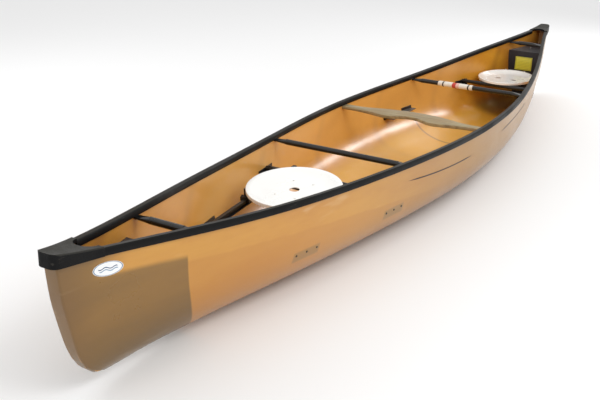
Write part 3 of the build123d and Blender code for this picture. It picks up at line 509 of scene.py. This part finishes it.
def make_label():
    """Yellow notice with a dark rim and plain rules."""
    made, tree, shader = finish_material("label", 0.3, coat=0.3)
    where, _, y, z = place(tree)
    dull, _, grain = marks(tree, where, 20.0, 60.0, 900.0)
    across = total(tree, "DIVIDE", total(tree, "SUBTRACT", y, label_low.y), label_high.y - label_low.y)
    up = total(tree, "DIVIDE", total(tree, "SUBTRACT", z, label_low.z), label_high.z - label_low.z)
    colour = blended(tree, total(tree, "MULTIPLY", dull, 0.3), paint(255, 248, 84), paint(240, 228, 76))
    rows = total(tree, "FRACT", total(tree, "MULTIPLY", up, 9.0))
    rule = total(tree, "MULTIPLY", step(tree, rows, 0.62, 0.72),
                 total(tree, "SUBTRACT", 1.0, step(tree, rows, 0.86, 0.96)))
    inside = band(tree, across, 0.5, 0.4)
    rule = total(tree, "MULTIPLY", total(tree, "MULTIPLY", rule, inside), 0.28)
    colour = blended(tree, rule, colour, paint(70, 68, 30))
    rim = total(tree, "SUBTRACT", 1.0, total(tree, "MULTIPLY", band(tree, across, 0.5, 0.47),
                                             band(tree, up, 0.5, 0.46)))
    colour = blended(tree, total(tree, "MULTIPLY", rim, 0.35), colour, paint(120, 116, 40))
    feed(tree, shader, Base_Color=colour, Normal=bumped(tree, grain, 0.08, 0.0003))
    return made


ash, wrap, seat_plastic, label = make_ash(), make_wrap(), make_seat_plastic(), make_label()
print("pale finishes", ash.name, wrap.name, seat_plastic.name, label.name)

# %% [markdown]
# ## Copies of the CAD pieces
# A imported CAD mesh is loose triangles. To shade a piece smoothly and soften its edges it is copied, its
# doubled points are merged, and its sharp edges are marked by angle. The copy then stands for the node.

# %% Copy, smooth and soften
SHARP_ANGLE = math.radians(32)
ROUNDED_ANGLE = math.radians(52)  # for pieces whose chamfers stand for a rounded edge
MERGE_DISTANCE = 0.00002


def merged_copy(node, sharp=SHARP_ANGLE):
    """A bmesh of a CAD node with its doubled points merged, smooth except at its sharp edges."""
    shape = bmesh.new()
    shape.from_mesh(frame["nodes"][node].data)
    bmesh.ops.remove_doubles(shape, verts=shape.verts, dist=MERGE_DISTANCE)
    bmesh.ops.dissolve_degenerate(shape, edges=shape.edges, dist=MERGE_DISTANCE)
    for face in shape.faces:
        face.smooth = True
        face.material_index = 0
    for edge in shape.edges:
        edge.smooth = len(edge.link_faces) == 2 and edge.calc_face_angle(0) < sharp
    return shape


def show(name, shape, body, materials, nodes=(), soften=0.0, segments=3):
    """Turns a bmesh into a piece that rides on its body and stands for its CAD nodes."""
    mesh = bpy.data.meshes.new(name)
    shape.to_mesh(mesh)
    shape.free()
    piece = bpy.data.objects.new(name, mesh)
    bpy.context.scene.collection.objects.link(piece)
    for material in materials:
        mesh.materials.append(material)
    if soften:
        bevel = piece.modifiers.new("softened edges", "BEVEL")
        bevel.width, bevel.segments, bevel.limit_method = soften, segments, "ANGLE"
        bevel.angle_limit, bevel.use_clamp_overlap = SHARP_ANGLE, True
        bevel.harden_normals = False
    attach(piece, body)
    if nodes:
        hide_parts(*nodes)
    return piece


# %% [markdown]
# ## The hull skin
# The skin is a merged copy of the CAD hull. Each face is told to be outside or inside by the way that it
# faces, so that the two finishes meet at the rim. The stems are flat with square corners in the CAD, and a
# laminated stem is rounded over, so those corners are bevelled here.

# %% Hull skin
STEM_ROUND, STEM_STEPS = 0.0072, 5
STEM_REACH = 0.45  # the corners are within this of the tips
CORNER_ANGLE = math.radians(30)


def outward(face):
    """Above 0 for a face on the hull's outside."""
    middle = face.calc_center_median()
    return (face.normal.x * math.copysign(1, middle.x) + face.normal.y * math.copysign(1, middle.y)
            - face.normal.z)


def near_tip(edge):
    """True for an edge within reach of a stem."""
    return abs(edge.verts[0].co.x) > cad_box[1].x - STEM_REACH


def across_stem(face):
    """True for the flat outer face across a stem."""
    return abs(face.normal.y) < 0.05 and outward(face) > 0.3 and abs(face.normal.x) > 0.2


def round_stems(shape):
    """Bevels the corners between the hull's sides and the flat faces across its stems."""
    corners = [edge for edge in shape.edges
               if near_tip(edge) and len(edge.link_faces) == 2
               and edge.calc_face_angle(0) > CORNER_ANGLE
               and sum(across_stem(face) for face in edge.link_faces) == 1
               and all(outward(face) > 0 for face in edge.link_faces)]
    bmesh.ops.bevel(shape, geom=corners, offset=STEM_ROUND, segments=STEM_STEPS, profile=0.5,
                    affect="EDGES", clamp_overlap=False, material=-1)
    return len(corners)


hull_shape = merged_copy("hull")
hull_shape.normal_update()
print("hull faces", len(hull_shape.faces))
print("stem corners bevelled", round_stems(hull_shape))
hull_shape.normal_update()
for face in hull_shape.faces:
    face.material_index = 0 if outward(face) > 0 else 1
for edge in hull_shape.edges:
    if len(edge.link_faces) == 2:
        stem = near_tip(edge) and all(outward(face) > 0 for face in edge.link_faces)
        edge.smooth = stem or edge.calc_face_angle(0) < SHARP_ANGLE
hull_tree = BVHTree.FromBMesh(hull_shape)
show("hull_skin", hull_shape, "hull_body", (laminate_outside, laminate_inside), ("hull",))

# %% [markdown]
# ## Every other CAD piece
# The remaining pieces keep their CAD shape. Deck plates and tank skins get softened edges, wide enough to
# catch the light, and seats, tape, tubes and small hardware a finer one. Wood, vinyl, the label and the eye
# wire get none; the vinyl and the deck plates are shaded smooth across their chamfers.

# %% Finishes by slot
FINISHES = {"gunwale_vinyl": (gunwale_vinyl, 0.0), "deck_plastic": (deck_plastic, 0.003),
            "thwart_tube": (thwart_tube, 0.0004), "ash": (ash, 0.0), "wrap": (wrap, 0.0008),
            "seat_plastic": (seat_plastic, 0.0006), "label": (label, 0.0), "tank_skin": (tank_skin, 0.004),
            "fastener": (fastener, 0.0003), "eye_wire": (eye_wire, 0.0),
            "fitting_plastic": (fitting_plastic, 0.0005), "black_alloy": (black_alloy, 0.0004)}
slot_of = {row["node"]: row["material_slot"] for row in frame["record"]["subparts"]}
body_of = {node: body for body, nodes in frame["record"]["behaviour"]["bodies"].items() for node in nodes}
made_count = 0
for node, slot in slot_of.items():
    if node == "hull":
        continue
    finish, soften = FINISHES[slot]
    sharp = ROUNDED_ANGLE if slot in ("gunwale_vinyl", "deck_plastic") else SHARP_ANGLE
    show(f"{node}_shown", merged_copy(node, sharp), body_of[node], (finish,), (node,), soften)
    made_count += 1
print("pieces finished", made_count)

# %% [markdown]
# ## Things stuck on the hull
# An oval sticker sits under the bow deck plate, and a thin dark line sweeps along the port side. Each
# starts as a flat grid or disc, is laid over the side, and is pressed on by casting every point on to
# the skin, so that it follows the curve with a hair's gap.

# %% Stickers
STICK_GAP = 0.0004


def press_on(shape):
    """Moves each point along Y on to the port side of the hull."""
    for vertex in shape.verts:
        hit = hull_tree.ray_cast(Vector((vertex.co.x, 1.0, vertex.co.z)), Vector((0, -1, 0)))
        vertex.co = hit[0] + hit[1].normalized() * STICK_GAP
    bmesh.ops.recalc_face_normals(shape, faces=shape.faces)
    if sum(face.normal.y for face in shape.faces) < 0:
        bmesh.ops.reverse_faces(shape, faces=shape.faces)
    for face in shape.faces:
        face.smooth = True


def make_sticker_print(middle, half_long, half_tall, tilt):
    """White oval with a dark blue line near its rim and a plain wave."""
    made, tree, shader = finish_material("sticker_print", 0.25, coat=0.4)
    where, x, _, z = place(tree)
    along = total(tree, "SUBTRACT", x, middle.x)
    up = total(tree, "SUBTRACT", total(tree, "SUBTRACT", z, middle.z), total(tree, "MULTIPLY", along, tilt))
    along, up = total(tree, "DIVIDE", along, half_long), total(tree, "DIVIDE", up, half_tall)
    squares = [total(tree, "POWER", value, 2.0) for value in (along, up)]
    reach = total(tree, "SQRT", total(tree, "ADD", *squares))
    colour = blended(tree, band(tree, reach, 0.93, 0.035), paint(246, 248, 249), paint(96, 122, 150))
    wave = total(tree, "MULTIPLY", total(tree, "SINE", total(tree, "MULTIPLY", along, 9.0)), 0.12)
    for shift, shade in ((0.12, paint(52, 84, 122)), (-0.2, paint(120, 150, 178))):
        near = total(tree, "ABSOLUTE", total(tree, "SUBTRACT", total(tree, "ADD", wave, shift), up))
        mark = total(tree, "SUBTRACT", 1.0, step(tree, near, 0.05, 0.09))
        mark = total(tree, "MULTIPLY", mark, total(tree, "SUBTRACT", 1.0, step(tree, reach, 0.62, 0.66)))
        colour = blended(tree, mark, colour, shade)
    grain = noise(tree, where, 700.0, 2.0)
    feed(tree, shader, Base_Color=colour, Normal=bumped(tree, grain, 0.05, 0.0003))
    return made


SHEER_TILT = 0.12
sticker_middle = Vector((bow_x - 0.199, 0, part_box("bow_deck_plate")[0].z - 0.05))
STICKER_HALF_LONG, STICKER_HALF_TALL = 0.057, 0.0245
oval = bmesh.new()
bmesh.ops.create_circle(oval, cap_ends=True, cap_tris=False, radius=1.0, segments=64)
for share in (0.15, 0.2, 0.25):
    bmesh.ops.inset_region(oval, faces=[max(oval.faces, key=lambda f: len(f.verts))], thickness=share)
bmesh.ops.triangulate(oval, faces=[f for f in oval.faces if len(f.verts) > 4])
turned = Matrix(((STICKER_HALF_LONG, 0, 0, 0), (0, 0, 0, 0),
                 (STICKER_HALF_LONG * SHEER_TILT, STICKER_HALF_TALL, 0, 0), (0, 0, 0, 1)))
bmesh.ops.transform(oval, matrix=turned, verts=oval.verts)
bmesh.ops.translate(oval, vec=sticker_middle, verts=oval.verts)
press_on(oval)
sticker_print = make_sticker_print(sticker_middle, STICKER_HALF_LONG, STICKER_HALF_TALL, SHEER_TILT)
show("bow_sticker", oval, "hull_body", (sticker_print,))
print("sticker at", tuple(round(v, 3) for v in sticker_middle))


# %% Side line
def make_line_vinyl():
    """Dark brown cut vinyl, a little faded in places."""
    made, tree, shader = finish_material("line_vinyl", 0.4)
    where = spot(tree)
    dull, _, grain = marks(tree, where, 8.0, 60.0, 900.0)
    colour = blended(tree, total(tree, "MULTIPLY", dull, 0.4), paint(44, 26, 14), paint(68, 44, 26))
    feed(tree, shader, Base_Color=colour, Normal=bumped(tree, grain, 0.05, 0.0003))
    return made


LINE_WIDE = 0.0065
LINE_LOW_X, LINE_LOW_Z = 0.12, 0.256  # where the line is lowest
LINE_RISE_FORE, LINE_RISE_AFT = 0.083, 0.032
LINE_RUNS = (("fore", 0.82, 0.15), ("aft", -0.34, -1.0))
line_vinyl = make_line_vinyl()


def line_height(x):
    """Height of the side line: lowest a little ahead of the middle, sweeping up both ways."""
    ahead = x - LINE_LOW_X
    return LINE_LOW_Z + (LINE_RISE_FORE * ahead ** 2 if ahead > 0 else -LINE_RISE_AFT * ahead)


for name, start, end in LINE_RUNS:
    strip = bmesh.new()
    bmesh.ops.create_grid(strip, x_segments=60, y_segments=1, size=0.5)
    for vertex in strip.verts:
        along = start + (end - start) * (vertex.co.x + 0.5)
        taper = min(1.0, 8 * (0.5 - abs(vertex.co.x)) + 0.15)
        vertex.co = (along, 0, line_height(along) + vertex.co.y * LINE_WIDE * taper)
    press_on(strip)
    show(f"side_line_{name}", strip, "hull_body", (line_vinyl,))
print("side lines", len(LINE_RUNS))

# %% [markdown]
# ## Floor, light and camera
# A big pale floor, a bright even sky and three soft lamps: one over the port bow, one that fills from
# starboard, and a tall one beyond the stern whose reflection runs down the bilge.

# %% Floor and lamps
FLOOR_SIZE = 40.0
middle = (cad_box[0] + cad_box[1]) / 2
ground = bmesh.new()
bmesh.ops.create_grid(ground, x_segments=1, y_segments=1, size=FLOOR_SIZE / 2)
bmesh.ops.translate(ground, vec=(0, 0, cad_box[0].z - 0.001), verts=ground.verts)
floor_mesh = bpy.data.meshes.new("floor")
ground.to_mesh(floor_mesh)
ground.free()
floor = bpy.data.objects.new("floor", floor_mesh)
bpy.context.scene.collection.objects.link(floor)
floor_paint, _, floor_shader = finish_material("floor_paint", 0.9)
floor_shader.inputs["Base Color"].default_value = (0.93, 0.93, 0.93, 1)
floor_mesh.materials.append(floor_paint)

world = bpy.data.worlds.new("studio")
bpy.context.scene.world = world
world.use_nodes = True
sky = world.node_tree.nodes["Background"]
sky.inputs["Color"].default_value = (1, 1, 1, 1)
sky.inputs["Strength"].default_value = 0.85


def lamp(name, where, towards, wide, tall, power, glint):
    """A soft rectangular lamp that faces a point, its reflection as strong as glint."""
    light = bpy.data.lights.new(name, "AREA")
    light.shape, light.size, light.size_y, light.energy = "RECTANGLE", wide, tall, power
    light.specular_factor = glint
    made = bpy.data.objects.new(name, light)
    bpy.context.scene.collection.objects.link(made)
    made.location = where
    made.rotation_mode = "QUATERNION"
    made.rotation_quaternion = (Vector(towards) - Vector(where)).to_track_quat("-Z", "Y")
    return made


lamp("port_key", (1.5, 3.2, 3.6), (0.4, 0, 0.2), 3.0, 2.0, 60, 0.15)
lamp("starboard_fill", (1.0, -3.5, 2.6), (0, 0, 0.2), 4.0, 1.5, 30, 0.15)
lamp("stern_streak", (-5.2, 1.4, 2.6), (-0.4, -0.35, 0.12), 0.6, 1.8, 62, 1.0)

# Colours are shown as they are mixed, with no film curve over them.
bpy.context.scene.view_settings.view_transform = "Standard"

# %% Camera
CAMERA_PLACE = (4.332205, 1.775259, 1.598240)
CAMERA_RIGHT = Vector((-0.500865, 0.864940, 0.031845))
CAMERA_FORWARD = Vector((-0.815467, -0.459246, -0.352288))
LENS = 52.3
camera_data = bpy.data.cameras.new("camera")
camera_data.lens, camera_data.sensor_width = LENS, 36.0
camera = bpy.data.objects.new("camera", camera_data)
bpy.context.scene.collection.objects.link(camera)
right, back = CAMERA_RIGHT.normalized(), -CAMERA_FORWARD.normalized()
up = back.cross(right)
camera.matrix_world = Matrix.Translation(CAMERA_PLACE) @ Matrix((right, up, back)).transposed().to_4x4()
bpy.context.scene.camera = camera
print("camera at", CAMERA_PLACE)
